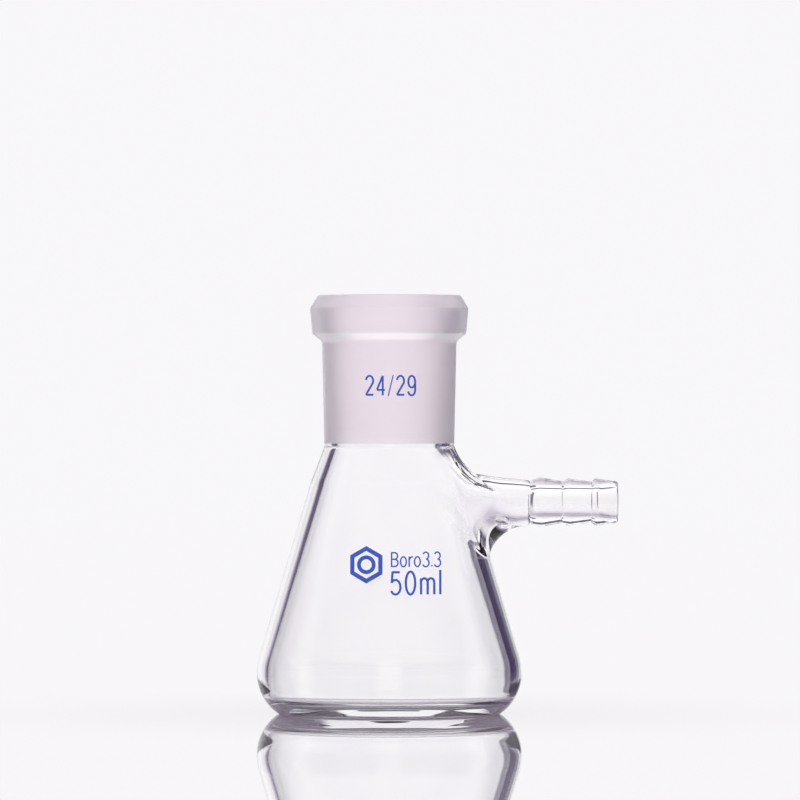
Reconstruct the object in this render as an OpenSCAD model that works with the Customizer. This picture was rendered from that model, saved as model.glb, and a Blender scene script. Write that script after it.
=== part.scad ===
// Buchner (filter) flask, 50 ml: conical bulb, 24/29 ground socket, glass hose connection.
// Origin: the flask's axis where it meets the bench. +Z up, side arm along +X, prints facing -Y.

/* [Bulb] */
// Widest diameter of the bulb
bulb_d = 52; // [50:0.5:54]
// Height of the whole flask, foot to rim
flask_h = 82; // [82:0.5:86]
// Thickness of the vacuum-rated glass wall, halfway up the cone
wall_t = 2.5; // [2:0.1:2.8]
// Thickness of the glass in the base
base_t = 2.6; // [2.4:0.1:3.6]
// Lean of the cone's side from upright, degrees
cone_a = 16.6; // [16:0.1:17]
// Outer diameter of the foot, where the heel meets the bench
foot_d = 43.6; // [43:0.2:45]
// Inner diameter of the flat foot ring
foot_in_d = 32; // [28:1:36]
// Radius of the heel's curve
heel_r = 9.6; // [9:0.1:9.8]
// Thickness of the glass in the heel
heel_t = 2.2; // [2:0.1:2.6]
// Height where the widest part turns into the cone
swell_z = 9.9; // [9.8:0.1:11]
// Radius of the swell between the heel and the cone
swell_r = 13; // [10:1:13]
// Height of the hollow under the base
punt_h = 0.25; // [0.2:0.05:0.5]

/* [Ground socket 24/29] */
// Length of the ground zone
joint_l = 29; // [29]
// Diameter of the ground zone at its wide end
joint_d = 24; // [24]
// Outside diameter of the neck where the socket starts
neck_d = 25.5; // [25:0.1:26]
// Diameter of the thickened collar
collar_d = 31.1; // [30:0.1:32]
// Height of the thickened collar
collar_h = 7.5; // [6:0.5:8]

/* [Side arm] */
// Height of the side arm's axis above the bench
arm_z = 41.5; // [40:0.5:42]
// Radius of the round patch of wall that the arm is blown out of
patch_r = 11; // [9:0.5:11]
// Distance from the flask's axis to the weld between arm and hose connection
weld_x = 27.6; // [27:0.1:29]
// Outside radius of the arm beside the weld
arm_r = 4.45; // [4.3:0.05:4.5]
// Radius at the bottom of the groove that the weld leaves
seam_r = 4.1; // [3.9:0.1:4.2]
// Bore radius of the arm
arm_bore_r = 3; // [2.9:0.1:3.1]

/* [Hose connection] */
// Length of the hose connection
barb_l = 17.2; // [16:0.1:20]
// Bore diameter of the hose connection, along its straight middle
barb_bore_d = 4.6; // [4:0.1:5]
// Radius of the hose connection's flared mouth
mouth_r = 3; // [2.6:0.1:3.1]
// Radius over the first, largest ridge
ridge_r = 4.8; // [4.6:0.1:5]

/* [Enamel marks] */
// Thickness of the fired enamel
enamel_t = 0.12; // [0.08:0.02:0.2]
// Stroke width of the lettering
pen_w = 0.38; // [0.35:0.01:0.4]
// Left edge of the joint-size print, from the flask's axis
joint_word_x = -4.5; // [-4.8:0.1:-4.2]
// Width of each printed word
word_w = 9.6; // [9:0.1:10]
// Left edge of the words on the cone, from the flask's axis
cone_word_x = 0.4; // [0:0.1:1]
// Foot of the capacity print, above the bench
capacity_z = 24; // [20:0.1:24.2]
// Letter height of the capacity print
capacity_h = 4.4; // [3.5:0.1:4.6]
// Foot of the glass-type print, above the bench
type_z = 29.3; // [29.3:0.1:30]
// Letter height of the glass-type print
type_h = 2.8; // [2.4:0.1:3]
// Foot of the joint-size print, above the bench
joint_mark_z = 62.4; // [60:0.1:64]
// Letter height of the joint-size print
joint_mark_h = 3.8; // [3.5:0.1:4.5]
// Centre of the emblem, left of the axis and above the bench
emblem_at = [-4.4, 29.7]; // [-8:0.1:32]
// Radius of the emblem's hexagon, over its corners
emblem_r = 3.6; // [3:0.1:3.6]

/* [Hidden] */
$fn = 96;

glass = [0.93, 0.92, 0.96, 0.35];
ground_glass = [0.90, 0.87, 0.90, 0.75];
enamel = [0.20, 0.33, 0.68];

// steps along each rounded corner of a turned outline
CORNER_STEPS = 8;
// rings and sides of the blended patch around the side arm
BLEND_STEPS = 9;
PATCH_SIDES = 48;

bulb_r = bulb_d / 2;
joint_z = flask_h - joint_l;
joint_r = joint_d / 2;
joint_taper = 0.1;
joint_small_r = joint_r - joint_l * joint_taper / 2;
neck_r = neck_d / 2;
collar_r = collar_d / 2;
barb_bore_r = barb_bore_d / 2;
// half the width of the weld's groove
seam_w = 0.3;
slope = tan(cone_a);
wall_across = wall_t / cos(cone_a);
foot_r = foot_d / 2;
foot_in_r = foot_in_d / 2;
// the heel's curve rounds the corner at this height
heel_corner_z = 3.3;
inner_heel_r = 2.5;
// the punt's edge is this gently rounded
punt_edge_r = 45;

// the cone leans in a little more over its last stretch, from here to the neck
draw_z = 45.2;
draw_end_z = joint_z - 0.6;
function cone_r(z) = bulb_r - slope * (z - swell_z);

function unit(v) = v / norm(v);

// Arc of the given radius that rounds the corner b between its neighbours a and c
function corner_arc(a, b, c, radius) =
    let (u = unit(a - b), v = unit(c - b), half = acos(u * v) / 2,
         start = b + u * radius / tan(half), stop = b + v * radius / tan(half),
         mid = b + unit(u + v) * radius / sin(half),
         a0 = atan2(start.y - mid.y, start.x - mid.x),
         a1 = atan2(stop.y - mid.y, stop.x - mid.x),
         turn = (a1 - a0 + 540) % 360 - 180)
    [for (i = [0 : CORNER_STEPS]) let (w = a0 + turn * i / CORNER_STEPS)
        mid + radius * [cos(w), sin(w)]];

// Outline from corners [r, z, rounding radius]
function rounded(corners) =
    [for (i = [0 : len(corners) - 1])
        let (p = corners[i], b = [p.x, p.y])
        each p[2] == 0 ? [b] :
            corner_arc([corners[i - 1].x, corners[i - 1].y], b,
                       [corners[i + 1].x, corners[i + 1].y], p[2])];

module lathe(outline) {
    rotate_extrude() polygon(outline);
}

// ---- Bulb ----

bulb_outside = rounded([
    [foot_in_r, 0, 0],
    [foot_r, 0, 1.5],
    [bulb_r, heel_corner_z, heel_r],
    [bulb_r, swell_z, swell_r],
    [cone_r(draw_z), draw_z, 15],
    [neck_r, draw_end_z, 3],
    [neck_r, joint_z, 0]]);

neck_bore_r = joint_small_r - 0.2;
bulb_inside = rounded([
    [0, base_t, 0],
    [bulb_r - heel_t, base_t, inner_heel_r],
    [bulb_r - heel_t, swell_z - 0.3, swell_r - heel_t],
    [cone_r(draw_z) - wall_across, draw_z, 12],
    [neck_bore_r, draw_end_z, 2],
    [neck_bore_r, joint_z, 0]]);

// Radius of an outline at a height, on the cone and above
function radius_at(outline, z) = lookup(z, [for (p = outline) if (p.y > swell_z) [p.y, p.x]]);

module flask_body() {
    foot = rounded([[0, punt_h, 0], [foot_in_r * 0.7, punt_h, punt_edge_r], [foot_in_r, 0, 0]]);
    color(glass) difference() {
        lathe(concat(foot, bulb_outside, [[0, joint_z]]));
        lathe(concat(bulb_inside, [[neck_bore_r, joint_z + 1], [0, joint_z + 1]]));
        translate([0, 0, arm_z]) rotate([0, 90, 0]) cylinder(r = patch_r, h = bulb_d);
    }
}

// ---- Side arm ----
// The arm and its patch of bulb wall are drawn in half planes through the arm's axis. In each,
// a blend runs from the patch's rim on the bulb to the arm's tube. w is the half plane's turn
// from straight up, and s the distance from the arm's axis.

function wall_x(outline, s, w) =
    sqrt(pow(radius_at(outline, arm_z + s * cos(w)), 2) - pow(s * sin(w), 2));

// Where the bulb's own curve, carried on past the rim, would reach the distance s
function carried_x(outline, s, w) =
    let (rim = wall_x(outline, patch_r, w), near = wall_x(outline, patch_r - 0.2, w))
    max(rim + (near - rim) * (patch_r - s) / 0.2, wall_x(outline, s, w));

function blend(a, b, c, full, t) =
    let (p = a + (b - a) * full, q = c + (b - c) * full, u = 1 - t)
    a * pow(u, 3) + p * 3 * u * u * t + q * 3 * u * t * t + c * pow(t, 3);

// Rim on the bulb, blend, tube: [x, s] points from the patch's rim to the tube's end [x, s]
function arm_line(outline, w, corner_s, end, reach, full) =
    let (rim = [wall_x(outline, patch_r, w), patch_r],
         corner = [carried_x(outline, corner_s, w), corner_s],
         foot_x = corner.x + reach,
         foot = [foot_x, end.y + (corner_s - end.y) * (end.x - foot_x) / (end.x - corner.x)])
    concat([for (i = [0 : BLEND_STEPS]) blend(rim, corner, foot, full, i / BLEND_STEPS)], [end]);

// The tube sags a little, so it is thicker below than above
module side_arm() {
    outer_corner_s = 5.6;
    inner_corner_s = 4;
    sag = 0.2;
    turns = [for (k = [0 : PATCH_SIDES - 1]) k * 360 / PATCH_SIDES];
    outer = [for (w = turns) concat(
        arm_line(bulb_outside, w, outer_corner_s, [weld_x - seam_w, arm_r - sag * cos(w)],
                 6.5 - cos(w), 0.55 + 0.15 * cos(w)),
        [[weld_x, seam_r]])];
    inner = [for (w = turns)
        arm_line(bulb_inside, w, inner_corner_s, [weld_x, arm_bore_r], 5 - cos(w), 0.5)];
    // one closed loop per half plane: out along the outer line and back along the inner one
    loops = [for (k = [0 : PATCH_SIDES - 1])
        concat(outer[k], [for (i = [len(inner[k]) - 1 : -1 : 0]) inner[k][i]])];
    ring = len(loops[0]);
    points = [for (k = [0 : PATCH_SIDES - 1]) for (p = loops[k])
        [p.x, p.y * sin(turns[k]), arm_z + p.y * cos(turns[k])]];
    faces = [for (k = [0 : PATCH_SIDES - 1]) for (i = [0 : ring - 1])
        let (a = k * ring, b = (k + 1) % PATCH_SIDES * ring, j = (i + 1) % ring)
        each [[a + i, b + i, a + j], [a + j, b + i, b + j]]];
    color(glass) polyhedron(points = points, faces = faces, convexity = 6);
}

// ---- Hose connection ----

// Three ridges, each with a steep side towards the bulb and a long slope towards the tip. The
// bore steps down at the weld, runs straight, and opens out at the mouth.
module hose_barb() {
    valley_r = ridge_r - 0.7;
    lip = 0.45;
    bore_start = 0.5;
    bore_end = 13;
    color(glass) translate([weld_x, 0, arm_z]) rotate([0, 90, 0]) lathe(rounded([
        [seam_r, 0, 0],
        [arm_r - 0.05, seam_w, 0.1],
        [ridge_r + 0.06, 2, 1.6],
        [valley_r, 6.2, 0.4],
        [ridge_r - 0.15, 7.5, 1],
        [valley_r - 0.05, 11.7, 0],
        [valley_r - 0.05, 12.1, 0],
        [ridge_r - 0.17, 12.8, 0.5],
        [valley_r - 0.05, barb_l, lip],
        [mouth_r, barb_l, lip],
        [barb_bore_r, bore_end, 0],
        [barb_bore_r, bore_start, 0],
        [arm_bore_r, 0, 0]]));
}

// ---- Ground socket ----

socket_outside = rounded([
    [neck_r, joint_z, 0],
    [collar_r - 2.35, flask_h - collar_h - 1.5, 1.2],
    [collar_r - 0.45, flask_h - collar_h, 0.5],
    [collar_r, flask_h - 2.5, 0.5],
    [joint_r + 2, flask_h, 0.3],
    [joint_r, flask_h, 0]]);

module joint_socket() {
    color(ground_glass)
        lathe(concat(socket_outside, [[joint_small_r, joint_z]]));
}

// ---- Enamel marks ----
// Letters are pen strokes in a cell one unit high. strokes() gives one letter's list of paths.
// The gap between cells is in the same unit.

function bow(x, y, rx, ry, a0, a1) =
    [for (i = [0 : 10]) let (a = a0 + (a1 - a0) * i / 10) [x + rx * cos(a), y + ry * sin(a)]];
function oval(x, y, rx, ry) = [bow(x, y, rx, ry, -5, 185), bow(x, y, rx, ry, 175, 365)];
function line(x0, y0, x1, y1) = [[x0, y0], [x1, y1]];

function strokes(letter) =
    letter == "0" ? oval(0.24, 0.5, 0.24, 0.5) :
    letter == "2" ? [concat(bow(0.24, 0.74, 0.24, 0.26, 170, -25), [[0, 0.03]]),
                     line(0, 0.03, 0.5, 0.03)] :
    letter == "3" ? [bow(0.23, 0.755, 0.22, 0.245, 155, -85), bow(0.23, 0.265, 0.25, 0.265, 85, -155)] :
    letter == "4" ? [line(0.38, 0, 0.38, 1), line(0.38, 1, 0, 0.3), line(-0.02, 0.28, 0.52, 0.28)] :
    letter == "5" ? [line(0.44, 0.97, 0.06, 0.97), line(0.07, 1, 0.03, 0.5),
                     bow(0.22, 0.32, 0.26, 0.32, 135, -150)] :
    letter == "9" ? concat(oval(0.25, 0.7, 0.23, 0.3),
                           [concat([[0.48, 0.7]], bow(0.24, 0.27, 0.24, 0.27, 0, -165))]) :
    letter == "/" ? [line(0, -0.04, 0.34, 1.04)] :
    letter == "." ? [line(0, 0.06, 0.1, 0.06)] :
    letter == "B" ? [line(0.03, 0, 0.03, 1),
                     concat([[0, 0.97]], bow(0.28, 0.745, 0.2, 0.225, 90, -90), [[0, 0.52]]),
                     concat([[0, 0.52]], bow(0.28, 0.275, 0.24, 0.245, 90, -90), [[0, 0.03]])] :
    letter == "l" ? [line(0.03, 0, 0.03, 1.06)] :
    letter == "m" ? [line(0.03, 0, 0.03, 0.7),
                     concat(bow(0.2, 0.52, 0.17, 0.18, 170, 0), [[0.37, 0]]),
                     concat(bow(0.54, 0.52, 0.17, 0.18, 170, 0), [[0.71, 0]])] :
    letter == "o" ? oval(0.23, 0.35, 0.22, 0.34) :
    letter == "r" ? [line(0.03, 0, 0.03, 0.7), bow(0.26, 0.42, 0.22, 0.26, 165, 75)] :
    [];

function width_of(letter) =
    letter == "m" ? 0.74 : letter == "l" ? 0.06 : letter == "." ? 0.1 :
    letter == "r" ? 0.28 : letter == "/" ? 0.34 : letter == "B" ? 0.56 : 0.5;

// How far a letter's cell starts from the word's left edge
function advance(word, i, gap) =
    i == 0 ? 0 : advance(word, i - 1, gap) + width_of(word[i - 1]) + gap;

// Outline of a pen stroke along a path
function ribbon(path, w) =
    let (last = len(path) - 1,
         across = [for (i = [0 : last])
             let (d = unit(path[min(i + 1, last)] - path[max(i - 1, 0)])) [-d.y, d.x] * w / 2])
    concat([for (i = [0 : last]) path[i] + across[i]],
           [for (i = [last : -1 : 0]) path[i] - across[i]]);

// A word with its lower left corner at [x, z], drawn as seen from the front
module word(letters, x, z, width, height, pen = pen_w, gap = 0.25) {
    last = len(letters) - 1;
    stretch = width / (advance(letters, last, gap) + width_of(letters[last]));
    for (i = [0 : last]) for (path = strokes(letters[i]))
        polygon(ribbon([for (p = path)
            [x + (advance(letters, i, gap) + p.x) * stretch, z + p.y * height]],
            letters[i] == "/" ? pen * 0.6 : pen));
}

// Wraps a flat drawing onto the front of a cone that passes through [r0, z0] and [r1, z1]
module fired_on(r0, z0, r1, z1) {
    color(enamel) intersection() {
        lathe([[r0, z0], [r0 + enamel_t, z0], [r1 + enamel_t, z1], [r1, z1]]);
        rotate([90, 0, 0]) linear_extrude(bulb_d) children();
    }
}

module fired_on_cone(z0, z1) {
    fired_on(cone_r(z0), z0, cone_r(z1), z1) children();
}

module joint_size_mark() {
    z0 = joint_mark_z - 1;
    z1 = joint_mark_z + joint_mark_h + 1;
    fired_on(radius_at(socket_outside, z0), z0, radius_at(socket_outside, z1), z1)
        word("24/29", joint_word_x, joint_mark_z, word_w, joint_mark_h);
}

module glass_type_mark() {
    fired_on_cone(type_z - 1, type_z + type_h + 1)
        word("Boro3.3", cone_word_x, type_z, word_w, type_h, pen_w * 0.78, 0.14);
}

module capacity_mark() {
    fired_on_cone(capacity_z - 1, capacity_z + capacity_h + 1)
        word("50ml", cone_word_x, capacity_z, word_w, capacity_h, pen_w * 1.2);
}

// A plain hexagon with a ring in it, both drawn with a thick pen
module emblem_mark() {
    line_w = 0.95;
    ring_r = emblem_r / 2;
    fired_on_cone(emblem_at.y - emblem_r - 1, emblem_at.y + emblem_r + 1)
        translate(emblem_at) {
            rotate(30) difference() {
                circle(r = emblem_r, $fn = 6);
                circle(r = emblem_r - line_w, $fn = 6);
            }
            difference() {
                circle(r = ring_r);
                circle(r = ring_r - line_w * 0.8);
            }
        }
}

flask_body();
side_arm();
hose_barb();
joint_socket();
joint_size_mark();
glass_type_mark();
capacity_mark();
emblem_mark();
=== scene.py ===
import math

import bmesh
import bpy
import numpy as np
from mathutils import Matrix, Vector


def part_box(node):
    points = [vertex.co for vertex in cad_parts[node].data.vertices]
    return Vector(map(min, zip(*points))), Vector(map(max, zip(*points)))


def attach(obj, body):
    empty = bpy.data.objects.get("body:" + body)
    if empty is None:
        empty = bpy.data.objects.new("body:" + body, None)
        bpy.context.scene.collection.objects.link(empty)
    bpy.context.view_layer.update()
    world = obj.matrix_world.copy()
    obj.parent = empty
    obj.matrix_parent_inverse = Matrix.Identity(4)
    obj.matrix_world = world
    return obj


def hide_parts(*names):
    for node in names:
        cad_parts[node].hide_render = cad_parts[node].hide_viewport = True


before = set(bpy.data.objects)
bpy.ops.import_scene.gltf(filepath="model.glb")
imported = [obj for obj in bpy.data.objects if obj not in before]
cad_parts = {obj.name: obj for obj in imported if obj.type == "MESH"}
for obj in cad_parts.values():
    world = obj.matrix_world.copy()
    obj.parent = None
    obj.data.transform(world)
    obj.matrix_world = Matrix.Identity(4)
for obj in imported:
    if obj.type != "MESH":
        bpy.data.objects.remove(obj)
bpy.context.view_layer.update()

# Shapes are worked out in millimetres, and MM turns them into the frame's metres.
MM = 0.001

# ---------------------------------------------------------------------------
# Sizes. A name that ends in _R is a radius about a turned piece's own axis, one that ends in _Z
# a height above the bench, and one that ends in _CURVE the radius that rounds a corner.
# ---------------------------------------------------------------------------


def box_mm(node):
    lo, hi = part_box(node)
    return np.array(lo) / MM, np.array(hi) / MM


_, body_hi = box_mm("flask_body")
joint_lo, joint_hi = box_mm("joint_socket")
barb_lo, barb_hi = box_mm("hose_barb")

BULB_R = body_hi[1]
JOINT_Z = joint_lo[2]
FLASK_H = joint_hi[2]
COLLAR_R = joint_hi[1]
WELD_X = barb_lo[0]
BARB_L = barb_hi[0] - barb_lo[0]
ARM_Z = (barb_lo[2] + barb_hi[2]) / 2
RIDGE_R = (barb_hi[2] - barb_lo[2]) / 2

# the bulb's wall, base, foot and heel
WALL_T = 2.5
HEEL_T = 2.2
BASE_T = 2.6
CONE_A = math.radians(16.6)
FOOT_R = 21.8
FOOT_IN_R = 16.0
FOOT_CURVE = 1.5
PUNT_R = FOOT_IN_R * 0.7
PUNT_H = 0.25
PUNT_CURVE = 45
HEEL_CORNER_Z = 3.3
HEEL_CURVE = 9.6
INNER_HEEL_CURVE = 2.5
SWELL_Z = 9.9
INNER_SWELL_Z = SWELL_Z - 0.3
SWELL_CURVE = 13.0

# the cone leans in a little more from DRAW_Z up, and ends in a short straight neck
NECK_R = 12.75
DRAW_Z = 45.2
DRAW_CURVE = 15
INNER_DRAW_CURVE = 12
DRAW_END_Z = JOINT_Z - 0.6
NECK_CURVE = 3
INNER_NECK_CURVE = 2

# the ground taper, 1 in 10 on the diameter, and the ledge where it meets the neck's bore
JOINT_R = 12.0
TAPER = 10
JOINT_SMALL_R = JOINT_R - (FLASK_H - JOINT_Z) / (2 * TAPER)
NECK_BORE_R = JOINT_SMALL_R - 0.2
COLLAR_H = 7.5

# the side arm, the weld's groove, and the hose connection's bore
PATCH_R = 11.0
ARM_R = 4.45
ARM_SAG = 0.2
ARM_BORE_R = 3.0
SEAM_R = 4.1
SEAM_W = 0.3
BARB_BORE_R = 2.3
MOUTH_R = 3.0

# The blend from wall to arm: how far from the arm's axis the wall's line meets the tube's line,
# how far along the tube the blend reaches, and how closely it follows the corner, 0 to 1.
# Below the arm it reaches further, and the outer one is slacker.
OUTER_CORNER_S = 5.6
OUTER_REACH = 6.5
OUTER_FULLNESS = 0.55
INNER_CORNER_S = 4.0
INNER_REACH = 5
INNER_FULLNESS = 0.5
REACH_SWING = 1
FULLNESS_SWING = 0.15

# the mesh: sides of a turned surface, steps round a corner, longest step along a straight, and
# the angle from which an edge is drawn sharp
SIDES = 192
CORNER_STEPS = 14
LONGEST_STEP = 1.2
SHARP_A = math.radians(35)
# The window left for the side arm: half its width in sides, its rows, its foot, how far below it
# the plain rows stop, and how its rows crowd towards the neck. Then the rings inside it.
WINDOW_SIDES = 33
WINDOW_ROWS = 54
WINDOW_FOOT_Z = 28.5
WINDOW_GAP = 0.4
ROW_CROWDING = 1.4
SKIRT_RINGS = 6
BLEND_RINGS = 26
TUBE_RINGS = 5

CLEAR, GROUND, WELD = range(3)

# ---------------------------------------------------------------------------
# Outlines
# ---------------------------------------------------------------------------


def unit(v):
    return v / np.linalg.norm(v)


def corner_arc(a, b, c, radius):
    """Points of the arc that rounds corner b between its neighbours a and c."""
    a, b, c = (np.array(p[:2], float) for p in (a, b, c))
    u, v = unit(a - b), unit(c - b)
    half = math.acos(float(np.clip(u @ v, -1, 1))) / 2
    start = b + u * radius / math.tan(half)
    stop = b + v * radius / math.tan(half)
    mid = b + unit(u + v) * radius / math.sin(half)
    first = math.atan2(*(start - mid)[::-1])
    last = math.atan2(*(stop - mid)[::-1])
    turn = (last - first + 3 * math.pi) % (2 * math.pi) - math.pi
    angles = [first + turn * k / CORNER_STEPS for k in range(CORNER_STEPS + 1)]
    return [mid + radius * np.array([math.cos(t), math.sin(t)]) for t in angles]


def rounded(corners):
    """An outline through corners (r, z, rounding radius), as an array of points."""
    out = []
    for k, p in enumerate(corners):
        if p[2]:
            out += corner_arc(corners[k - 1], p, corners[k + 1], p[2])
        else:
            out.append(np.array(p[:2], float))
    return np.array(out)


def refined(outline):
    """The outline with its long straights cut into steps."""
    out = [outline[0]]
    for a, b in zip(outline[:-1], outline[1:]):
        n = max(1, math.ceil(np.linalg.norm(b - a) / LONGEST_STEP))
        out += [a + (b - a) * k / n for k in range(1, n + 1)]
    return np.array(out)


def cone_r(z):
    return BULB_R - math.tan(CONE_A) * (z - SWELL_Z)


bulb_outside = rounded([
    (0, PUNT_H, 0),
    (PUNT_R, PUNT_H, PUNT_CURVE),
    (FOOT_IN_R, 0, FOOT_CURVE),
    (FOOT_R, 0, FOOT_CURVE),
    (BULB_R, HEEL_CORNER_Z, HEEL_CURVE),
    (BULB_R, SWELL_Z, SWELL_CURVE),
    (cone_r(DRAW_Z), DRAW_Z, DRAW_CURVE),
    (NECK_R, DRAW_END_Z, NECK_CURVE),
    (NECK_R, JOINT_Z, 0),
])

bulb_inside = rounded([
    (0, BASE_T, 0),
    (BULB_R - HEEL_T, BASE_T, INNER_HEEL_CURVE),
    (BULB_R - HEEL_T, INNER_SWELL_Z, SWELL_CURVE - HEEL_T),
    (cone_r(DRAW_Z) - WALL_T / math.cos(CONE_A), DRAW_Z, INNER_DRAW_CURVE),
    (NECK_BORE_R, DRAW_END_Z, INNER_NECK_CURVE),
    (NECK_BORE_R, JOINT_Z, 0),
])


def radius_at(outline, z):
    """Radius of an outline at a height on the cone or above."""
    side = outline[outline[:, 1] > SWELL_Z]
    return np.interp(z, side[:, 1], side[:, 0])


# ---------------------------------------------------------------------------
# Meshes
# ---------------------------------------------------------------------------


class Shell:
    """A closed glass surface: points in millimetres, and faces with a look each."""

    def __init__(self):
        self.points, self.faces, self.looks = [], [], []

    def row(self, points):
        """Adds points and returns their numbers."""
        first = len(self.points)
        self.points += [tuple(p) for p in points]
        return list(range(first, len(self.points)))

    def strip(self, a, b, look, skip=()):
        """Quads between two closed rows of the same length, with some sides left out."""
        n = len(a)
        for k in range(n):
            if k in skip:
                continue
            m = (k + 1) % n
            self.faces.append((a[k], a[m], b[m], b[k]))
            self.looks.append(look)

    def fan(self, row, centre, look):
        """Triangles from a closed row to one point."""
        for k in range(len(row)):
            self.faces.append((row[k], row[(k + 1) % len(row)], centre))
            self.looks.append(look)


def circle_row(radius, z):
    turns = np.arange(SIDES) * 2 * math.pi / SIDES
    return [(radius * math.cos(t), radius * math.sin(t), z) for t in turns]


def make_piece(name, shell, nodes, looks):
    """A mesh object from a shell. An edge is sharp where the look changes or the surface turns hard."""
    mesh = bpy.data.meshes.new(name)
    mesh.from_pydata([[c * MM for c in p] for p in shell.points], [], shell.faces)
    used = sorted(set(shell.looks))
    for look in used:
        mesh.materials.append(looks[look])
    for face, look in zip(mesh.polygons, shell.looks):
        face.material_index = used.index(look)
        face.use_smooth = True
    bm = bmesh.new()
    bm.from_mesh(mesh)
    bmesh.ops.recalc_face_normals(bm, faces=bm.faces)
    if bm.calc_volume(signed=True) < 0:
        bmesh.ops.reverse_faces(bm, faces=bm.faces)
    for edge in bm.edges:
        sides = {f.material_index for f in edge.link_faces}
        if len(sides) > 1 or edge.calc_face_angle(0) > SHARP_A:
            edge.smooth = False
    bm.to_mesh(mesh)
    bm.free()
    piece = bpy.data.objects.new(name, mesh)
    bpy.context.collection.objects.link(piece)
    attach(piece, "root")
    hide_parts(*nodes)


# ---------------------------------------------------------------------------
# Bulb with its side arm
# ---------------------------------------------------------------------------


def wall_x(outline, s, w):
    """How far out the wall is, at distance s from the arm's axis and turn w from straight up."""
    r = radius_at(outline, ARM_Z + s * math.cos(w))
    return math.sqrt(r * r - (s * math.sin(w)) ** 2)


def arm_line(outline, w, corner_s, end, reach, fullness):
    """(x, s) points from the patch's rim on the wall, through a blend, to the tube's end."""
    near = 0.2
    rim = np.array([wall_x(outline, PATCH_R, w), PATCH_R])
    lean = (wall_x(outline, PATCH_R - near, w) - rim[0]) / near
    corner_x = max(rim[0] + lean * (PATCH_R - corner_s), wall_x(outline, corner_s, w))
    corner = np.array([corner_x, corner_s])
    foot_x = corner_x + reach
    foot_s = end[1] + (corner_s - end[1]) * (end[0] - foot_x) / (end[0] - corner_x)
    foot = np.array([foot_x, foot_s])
    p = rim + (corner - rim) * fullness
    q = foot + (corner - foot) * fullness
    out = []
    for k in range(1, BLEND_RINGS + 1):
        t = k / BLEND_RINGS
        u = 1 - t
        out.append(rim * u**3 + p * 3 * u * u * t + q * 3 * u * t * t + foot * t**3)
    out += [foot + (np.array(end) - foot) * k / TUBE_RINGS for k in range(1, TUBE_RINGS + 1)]
    return out


def outer_arm_line(w):
    """The tube sags a little, so it is thicker below than above."""
    end = (WELD_X - SEAM_W, ARM_R - ARM_SAG * math.cos(w))
    reach = OUTER_REACH - REACH_SWING * math.cos(w)
    fullness = OUTER_FULLNESS + FULLNESS_SWING * math.cos(w)
    return arm_line(bulb_outside, w, OUTER_CORNER_S, end, reach, fullness)


def inner_arm_line(w):
    reach = INNER_REACH - REACH_SWING * math.cos(w)
    return arm_line(bulb_inside, w, INNER_CORNER_S, (WELD_X, ARM_BORE_R), reach, INNER_FULLNESS)


def bulb_skin(shell, outline, arm, look):
    """Adds one skin of the bulb with its arm. Returns its rows at the neck and at the tube's end."""
    low = refined(outline[outline[:, 1] < WINDOW_FOOT_Z - WINDOW_GAP])
    rise = 1 - (1 - np.linspace(0, 1, WINDOW_ROWS)) ** ROW_CROWDING
    heights = WINDOW_FOOT_Z + rise * (JOINT_Z - WINDOW_FOOT_Z)
    pole = shell.row([(0, 0, outline[0][1])])[0]
    rows = [shell.row(circle_row(r, z)) for r, z in low[1:]]
    shell.fan(rows[0], pole, look)
    first = len(rows)
    rows += [shell.row(circle_row(radius_at(outline, z), z)) for z in heights]
    gap = [k % SIDES for k in range(-WINDOW_SIDES, WINDOW_SIDES)]
    for k in range(len(rows) - 1):
        shell.strip(rows[k], rows[k + 1], look, skip=gap if k >= first else ())

    # the window's border, once round
    window = rows[first:]
    across = range(-WINDOW_SIDES, WINDOW_SIDES + 1)
    border = [window[0][k % SIDES] for k in across]
    border += [r[WINDOW_SIDES] for r in window[1:]]
    border += [window[-1][k % SIDES] for k in reversed(across)][1:]
    border += [r[-WINDOW_SIDES] for r in reversed(window)][1:-1]

    # from each border point a line runs over the wall to the patch's rim, then out along the arm
    lines = []
    for number in border:
        x, y, z = shell.points[number]
        w = math.atan2(y, z - ARM_Z)
        rim_y, rim_z = PATCH_R * math.sin(w), ARM_Z + PATCH_R * math.cos(w)
        rim_turn = math.asin(rim_y / radius_at(outline, rim_z))
        turn = math.atan2(y, x)
        line = []
        for k in range(1, SKIRT_RINGS + 1):
            t = k / SKIRT_RINGS
            at_z, at_turn = z + (rim_z - z) * t, turn + (rim_turn - turn) * t
            r = radius_at(outline, at_z)
            line.append((r * math.cos(at_turn), r * math.sin(at_turn), at_z))
        for at_x, s in arm(w):
            line.append((at_x, s * math.sin(w), ARM_Z + s * math.cos(w)))
        lines.append(line)
    ring = border
    for k in range(len(lines[0])):
        inner = shell.row([line[k] for line in lines])
        shell.strip(ring, inner, look)
        ring = inner
    return rows[-1], ring


def make_bulb(looks):
    shell = Shell()
    neck_out, tube_out = bulb_skin(shell, bulb_outside, outer_arm_line, CLEAR)
    neck_in, weld_in = bulb_skin(shell, bulb_inside, inner_arm_line, CLEAR)
    # the neck's end: welded to the socket, with a narrow ledge inside it
    ledge = shell.row(circle_row(JOINT_SMALL_R, JOINT_Z))
    shell.strip(neck_out, ledge, WELD)
    shell.strip(ledge, neck_in, CLEAR)
    # the arm's end: one side of the weld's groove, then the weld to the hose connection
    seam = []
    for number in tube_out:
        _, y, z = shell.points[number]
        shrink = SEAM_R / math.hypot(y, z - ARM_Z)
        seam.append((WELD_X, y * shrink, ARM_Z + (z - ARM_Z) * shrink))
    seam = shell.row(seam)
    shell.strip(tube_out, seam, CLEAR)
    shell.strip(seam, weld_in, WELD)
    make_piece("bulb_glass", shell, ["flask_body", "side_arm"], looks)


# ---------------------------------------------------------------------------
# Turned pieces
# ---------------------------------------------------------------------------


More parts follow.
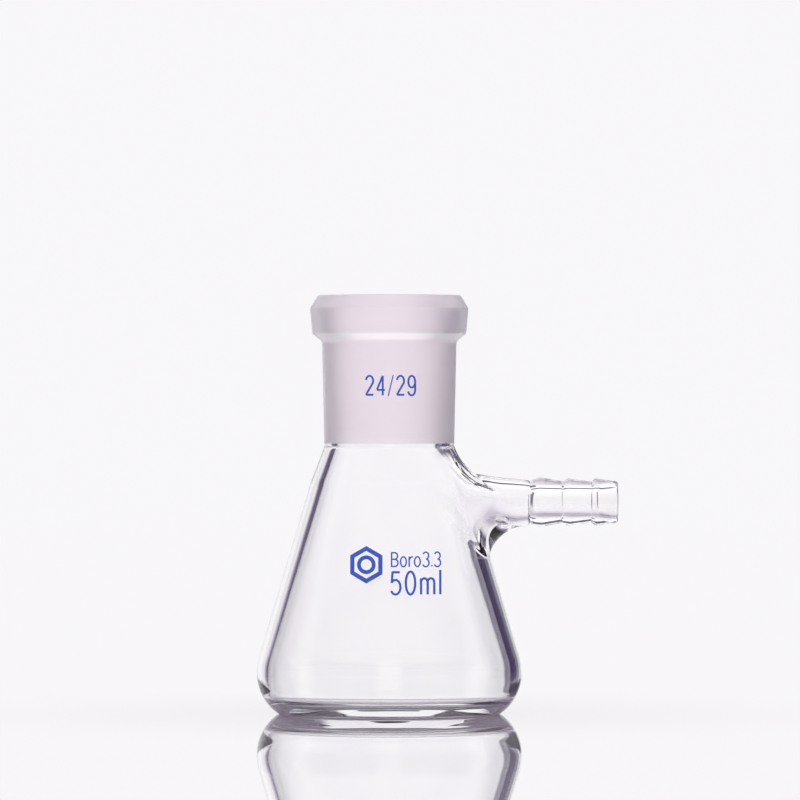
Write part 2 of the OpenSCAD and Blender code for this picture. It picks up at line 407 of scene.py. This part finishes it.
def turned(outline, kinds, place):
    """A closed outline turned about an axis. kinds holds one look per segment of the outline."""
    shell = Shell()
    rows = [shell.row([place(p) for p in circle_row(r, z)]) for r, z in outline]
    for k, look in enumerate(kinds):
        shell.strip(rows[k], rows[(k + 1) % len(rows)], look)
    return shell


def make_socket(looks):
    outside = refined(rounded([
        (NECK_R, JOINT_Z, 0),
        # under the collar, and the collar's shoulder
        (COLLAR_R - 2.35, FLASK_H - COLLAR_H - 1.5, 1.2),
        (COLLAR_R - 0.45, FLASK_H - COLLAR_H, 0.5),
        # the bevel up to the flat rim
        (COLLAR_R, FLASK_H - 2.5, 0.5),
        (JOINT_R + 2, FLASK_H, 0.3),
        (JOINT_R + 1.9, FLASK_H, 0),
    ]))
    inside = refined(rounded([
        (JOINT_R + 1, FLASK_H, 0),
        (JOINT_R, FLASK_H, 0.25),
        (JOINT_SMALL_R, JOINT_Z, 0),
    ]))
    outline = np.concatenate([outside, inside])
    kinds = [GROUND] * (len(outline) - 1) + [WELD]
    shell = turned(outline, kinds, lambda p: p)
    make_piece("socket_glass", shell, ["joint_socket"], looks)


def make_barb(looks):
    valley_r = RIDGE_R - 0.7
    lip_curve = 0.45
    outline = refined(rounded([
        # the weld's groove and the first ridge
        (SEAM_R, 0, 0),
        (ARM_R - 0.05, SEAM_W, 0.1),
        (RIDGE_R + 0.06, 2, 1.6),
        # a valley and the second ridge
        (valley_r, 6.2, 0.4),
        (RIDGE_R - 0.15, 7.5, 1),
        # a flat valley and the third ridge
        (valley_r - 0.05, 11.7, 0.1),
        (valley_r - 0.05, 12.1, 0.1),
        (RIDGE_R - 0.17, 12.8, 0.5),
        # the mouth's lip, and the bore back from its flare to the step at the weld
        (valley_r - 0.05, BARB_L, lip_curve),
        (MOUTH_R, BARB_L, lip_curve),
        (BARB_BORE_R, 13, 12),
        (BARB_BORE_R, 0.5, 0.15),
        (ARM_BORE_R, 0, 0),
    ]))
    kinds = [CLEAR] * (len(outline) - 1) + [WELD]
    shell = turned(outline, kinds, lambda p: (WELD_X + p[2], p[1], ARM_Z + p[0]))
    make_piece("hose_connection_glass", shell, ["hose_barb"], looks)


# ---------------------------------------------------------------------------
# Materials. A noise's scale is in cycles per metre, and a bump's distance in metres.
# ---------------------------------------------------------------------------

BORO_IOR = 1.474

# Each pair is the deeper and the paler colour that a surface varies between.
CORD_TINTS = (0.985, 0.98, 0.99), (1, 1, 1)
GROUND_TINTS = (0.98, 0.925, 0.965), (1.0, 0.955, 0.99)
ENAMEL_TINTS = (0.012, 0.06, 0.43), (0.032, 0.11, 0.6)

# The bench's painted soft shadow, a deeper lilac close to the flask, and its plain colour further away,
# and where the painted shadow starts to fade and where it ends
SHADOW_LILAC = (0.56, 0.51, 0.6)
BENCH_WHITE = (0.88, 0.87, 0.885)
SHADOW_CORE_R = 30
SHADOW_END_R = 105
# How much of the bench's light is mirrored, from looking straight down, 0, to along it, 1
MIRROR_SHARE = [(0.0, 0.04), (0.5, 0.07), (0.75, 0.2), (0.9, 0.75), (0.95, 0.9), (0.98, 1.0)]


def new_material(name):
    m = bpy.data.materials.new(name)
    m.use_nodes = True
    nodes, links = m.node_tree.nodes, m.node_tree.links
    for node in list(nodes):
        if node.type != "OUTPUT_MATERIAL":
            nodes.remove(node)
    return m, nodes, links, nodes["Material Output"]


def noise(nodes, links, scale, detail, roughness=0.5):
    """A noise texture on the object's own coordinates, which are metres."""
    where = nodes.new("ShaderNodeTexCoord")
    tex = nodes.new("ShaderNodeTexNoise")
    tex.inputs["Scale"].default_value = scale
    tex.inputs["Detail"].default_value = detail
    tex.inputs["Roughness"].default_value = roughness
    links.new(where.outputs["Object"], tex.inputs["Vector"])
    return tex.outputs["Fac"]


def ramp(nodes, links, source, stops):
    """A colour ramp through stops (position, colour)."""
    node = nodes.new("ShaderNodeValToRGB")
    elements = node.color_ramp.elements
    while len(elements) < len(stops):
        elements.new(0.5)
    for element, (at, colour) in zip(elements, stops):
        element.position = at
        element.color = (*colour, 1)
    links.new(source, node.inputs["Fac"])
    return node


def level_ramp(nodes, links, source, stops):
    """A ramp of plain levels through stops (position, level)."""
    return ramp(nodes, links, source, [(at, (level,) * 3) for at, level in stops])


def map_range(nodes, links, source, start, stop, low=0, high=1):
    """A value that goes from low to high while the source goes from start to stop."""
    node = nodes.new("ShaderNodeMapRange")
    node.inputs["From Min"].default_value = start
    node.inputs["From Max"].default_value = stop
    node.inputs["To Min"].default_value = low
    node.inputs["To Max"].default_value = high
    links.new(source, node.inputs["Value"])
    return node.outputs["Result"]


def bump(nodes, links, height, strength, distance, target):
    node = nodes.new("ShaderNodeBump")
    node.inputs["Strength"].default_value = strength
    node.inputs["Distance"].default_value = distance
    links.new(height, node.inputs["Height"])
    links.new(node.outputs["Normal"], target.inputs["Normal"])


def clear_glass():
    """Blown borosilicate: faint cords in its colour and a slow waviness in its surface."""
    m, nodes, links, out = new_material("clear_glass")
    shader = nodes.new("ShaderNodeBsdfPrincipled")
    shader.inputs["Transmission Weight"].default_value = 1
    shader.inputs["IOR"].default_value = BORO_IOR
    shader.inputs["Roughness"].default_value = 0
    cords = noise(nodes, links, scale=90, detail=2)
    tint = ramp(nodes, links, cords, list(zip((0.3, 0.7), CORD_TINTS)))
    links.new(tint.outputs["Color"], shader.inputs["Base Color"])
    waves = noise(nodes, links, scale=140, detail=1)
    bump(nodes, links, waves, 0.5, 0.00002, shader)
    links.new(shader.outputs["BSDF"], out.inputs["Surface"])
    return m


def ground_glass():
    """The ground socket: matt all over, a little patchy in colour and roughness, with fine pits."""
    m, nodes, links, out = new_material("ground_glass")
    shader = nodes.new("ShaderNodeBsdfPrincipled")
    shader.inputs["Transmission Weight"].default_value = 1
    shader.inputs["IOR"].default_value = BORO_IOR
    patches = noise(nodes, links, scale=350, detail=4)
    tint = ramp(nodes, links, patches, list(zip((0.3, 0.7), GROUND_TINTS)))
    links.new(tint.outputs["Color"], shader.inputs["Base Color"])
    matt = level_ramp(nodes, links, patches, [(0.3, 0.3), (0.7, 0.38)])
    links.new(matt.outputs["Color"], shader.inputs["Roughness"])
    pits = noise(nodes, links, scale=6000, detail=2)
    bump(nodes, links, pits, 0.35, 0.00004, shader)
    links.new(shader.outputs["BSDF"], out.inputs["Surface"])
    return m


def weld():
    """Where two pieces are one glass: nothing shows."""
    m, nodes, links, out = new_material("weld_plane")
    clear = nodes.new("ShaderNodeBsdfTransparent")
    links.new(clear.outputs["BSDF"], out.inputs["Surface"])
    return m


def blue_enamel():
    """Fired enamel: blue, a little uneven where the screen laid it thin."""
    m, nodes, links, out = new_material("blue_enamel")
    shader = nodes.new("ShaderNodeBsdfPrincipled")
    shader.inputs["Coat Weight"].default_value = 0.1
    shader.inputs["Coat Roughness"].default_value = 0.2
    grain = noise(nodes, links, scale=2500, detail=4, roughness=0.7)
    tint = ramp(nodes, links, grain, list(zip((0.35, 0.65), ENAMEL_TINTS)))
    links.new(tint.outputs["Color"], shader.inputs["Base Color"])
    matt = level_ramp(nodes, links, grain, [(0.35, 0.3), (0.65, 0.5)])
    links.new(matt.outputs["Color"], shader.inputs["Roughness"])
    bump(nodes, links, grain, 0.3, 0.00002, shader)
    links.new(shader.outputs["BSDF"], out.inputs["Surface"])
    return m


def bench_top_with_painted_shadow():
    """A pale glossy sheet with a painted soft shadow, a deeper lilac, close to the flask. It mirrors
    more the lower one looks.
    """
    m, nodes, links, out = new_material("bench_top_with_painted_shadow")
    matt = nodes.new("ShaderNodeBsdfDiffuse")
    where = nodes.new("ShaderNodeTexCoord")
    away = nodes.new("ShaderNodeVectorMath")
    away.operation = "LENGTH"
    links.new(where.outputs["Object"], away.inputs[0])
    # painted shadow: the sheet is a deeper lilac round the flask's foot and fades to plain white
    # further out
    shadow_fade = map_range(nodes, links, away.outputs["Value"], SHADOW_CORE_R * MM, SHADOW_END_R * MM)
    tint = ramp(nodes, links, shadow_fade, [(0.0, SHADOW_LILAC), (1.0, BENCH_WHITE)])
    tint.color_ramp.interpolation = "EASE"
    links.new(tint.outputs["Color"], matt.inputs["Color"])
    mirror = nodes.new("ShaderNodeBsdfGlossy")
    mirror.inputs["Color"].default_value = (1, 1, 1, 1)
    mirror.inputs["Roughness"].default_value = 0.0
    facing = nodes.new("ShaderNodeLayerWeight")
    facing.inputs["Blend"].default_value = 0.5
    share = level_ramp(nodes, links, facing.outputs["Facing"], MIRROR_SHARE)
    mix = nodes.new("ShaderNodeMixShader")
    links.new(share.outputs["Color"], mix.inputs["Fac"])
    links.new(matt.outputs["BSDF"], mix.inputs[1])
    links.new(mirror.outputs["BSDF"], mix.inputs[2])
    links.new(mix.outputs["Shader"], out.inputs["Surface"])
    return m


# ---------------------------------------------------------------------------
# Studio
# ---------------------------------------------------------------------------

PAPER = (0.94, 0.925, 0.945)
SHADE = (0.46, 0.39, 0.5)
DARK = (0.06, 0.043, 0.1)
SKY = (1.0, 0.99, 1.0)

# The lit paper all round, seen from the flask: azimuth in degrees from +Y towards +X, and colour.
# Pale paper stands behind, in front and at both sides, with shade and dark cards in between.
PANORAMA = [
    (-180, PAPER), (-172, PAPER), (-166, SHADE), (-104, SHADE), (-98, PAPER), (-82, PAPER),
    (-78, SHADE), (-64, SHADE), (-60, DARK), (-38, DARK), (-34, SHADE), (-30, PAPER),
    (14.5, PAPER), (17, DARK), (78, DARK), (82, PAPER),
    (98, PAPER), (104, SHADE), (166, SHADE), (172, PAPER),
]

# In the pairs below, the first value is how high a direction points, from 0, level, to 1, straight
# up. Overhead, the paper all round gives way to paper of one colour, and that to the sky.
OVERHEAD = [(0.0, 0.0), (0.36, 0.0), (0.5, 1.0)]
ABOVE = [(0.5, PAPER), (0.8, SKY)]
# The paper stops short of the lamps overhead, so a dark gap shows above it, behind the flask. In
# GAP_BEHIND the first value is how far back a direction points.
GAP_HEIGHT = [(0.66, 0.0), (0.69, 1.0), (0.82, 1.0), (0.85, 0.0)]
GAP_BEHIND = [(0.36, 0.0), (0.46, 1.0)]
# How much brighter the light overhead is than level light, and where the rise starts and ends
SKY_LIGHT = 1.25
LIFT_START = 0.1
LIFT_STOP = 0.6

# metres
BENCH_HALF = 40.0
CAMERA_FAR = 1.25
CAMERA_HEIGHT = 0.0615
CAMERA_RIGHT = 0.0021
VIEW_WIDTH = 0.1569
VIEW_DEPTH = 200

# so that light passes every wall of the flask, and of its reflection
GLASS_BOUNCES = 32
GLOSSY_BOUNCES = 12


def mix_colours(nodes, links, share, b):
    """A colour mix from its A socket to b, by share. Returns the node."""
    node = nodes.new("ShaderNodeMix")
    node.data_type = "RGBA"
    links.new(share, node.inputs["Factor"])
    if isinstance(b, tuple):
        node.inputs["B"].default_value = (*b, 1)
    else:
        links.new(b, node.inputs["B"])
    return node


def studio():
    world = bpy.data.worlds.new("studio")
    bpy.context.scene.world = world
    world.use_nodes = True
    nodes, links = world.node_tree.nodes, world.node_tree.links
    where = nodes.new("ShaderNodeTexCoord")
    split = nodes.new("ShaderNodeSeparateXYZ")
    links.new(where.outputs["Generated"], split.inputs["Vector"])
    x, y, height = (split.outputs[axis] for axis in "XYZ")
    turn = nodes.new("ShaderNodeMath")
    turn.operation = "ARCTAN2"
    links.new(x, turn.inputs[0])
    links.new(y, turn.inputs[1])
    share = map_range(nodes, links, turn.outputs["Value"], -math.pi, math.pi)
    stops = [((at + 180) / 360, colour) for at, colour in PANORAMA]
    round_about = ramp(nodes, links, share, stops)
    overhead = level_ramp(nodes, links, height, OVERHEAD)
    above = ramp(nodes, links, height, ABOVE)
    paper = mix_colours(nodes, links, overhead.outputs["Color"], above.outputs["Color"])
    links.new(round_about.outputs["Color"], paper.inputs["A"])
    gap_height = level_ramp(nodes, links, height, GAP_HEIGHT)
    gap_behind = level_ramp(nodes, links, y, GAP_BEHIND)
    gap = nodes.new("ShaderNodeMath")
    gap.operation = "MULTIPLY"
    links.new(gap_height.outputs["Color"], gap.inputs[0])
    links.new(gap_behind.outputs["Color"], gap.inputs[1])
    gapped = mix_colours(nodes, links, gap.outputs["Value"], DARK)
    links.new(paper.outputs["Result"], gapped.inputs["A"])
    background = nodes["Background"]
    lift = map_range(nodes, links, height, LIFT_START, LIFT_STOP, 1, SKY_LIGHT)
    links.new(lift, background.inputs["Strength"])
    links.new(gapped.outputs["Result"], background.inputs["Color"])


def bench():
    mesh = bpy.data.meshes.new("bench")
    corners = [(x * BENCH_HALF, y * BENCH_HALF, 0) for x, y in ((-1, -1), (1, -1), (1, 1), (-1, 1))]
    mesh.from_pydata(corners, [], [(0, 1, 2, 3)])
    mesh.materials.append(bench_top_with_painted_shadow())
    floor = bpy.data.objects.new("bench", mesh)
    bpy.context.collection.objects.link(floor)


def camera():
    data = bpy.data.cameras.new("camera")
    data.sensor_width = 36
    data.lens = data.sensor_width * CAMERA_FAR / VIEW_WIDTH
    data.clip_end = VIEW_DEPTH
    cam = bpy.data.objects.new("camera", data)
    bpy.context.collection.objects.link(cam)
    cam.location = (CAMERA_RIGHT, -CAMERA_FAR, CAMERA_HEIGHT)
    cam.rotation_euler = (math.pi / 2, 0, 0)
    bpy.context.scene.camera = cam


# ---------------------------------------------------------------------------
# The flask
# ---------------------------------------------------------------------------

looks = {CLEAR: clear_glass(), GROUND: ground_glass(), WELD: weld()}
make_bulb(looks)
make_socket(looks)
make_barb(looks)

enamel = blue_enamel()
for node in ("joint_size_mark", "glass_type_mark", "capacity_mark", "emblem_mark"):
    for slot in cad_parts[node].material_slots:
        slot.material = enamel

studio()
bench()
camera()

scene = bpy.context.scene
scene.view_settings.view_transform = "Standard"
scene.view_settings.look = "None"
scene.cycles.max_bounces = GLASS_BOUNCES
scene.cycles.transmission_bounces = GLASS_BOUNCES
scene.cycles.transparent_max_bounces = GLASS_BOUNCES
scene.cycles.glossy_bounces = GLOSSY_BOUNCES
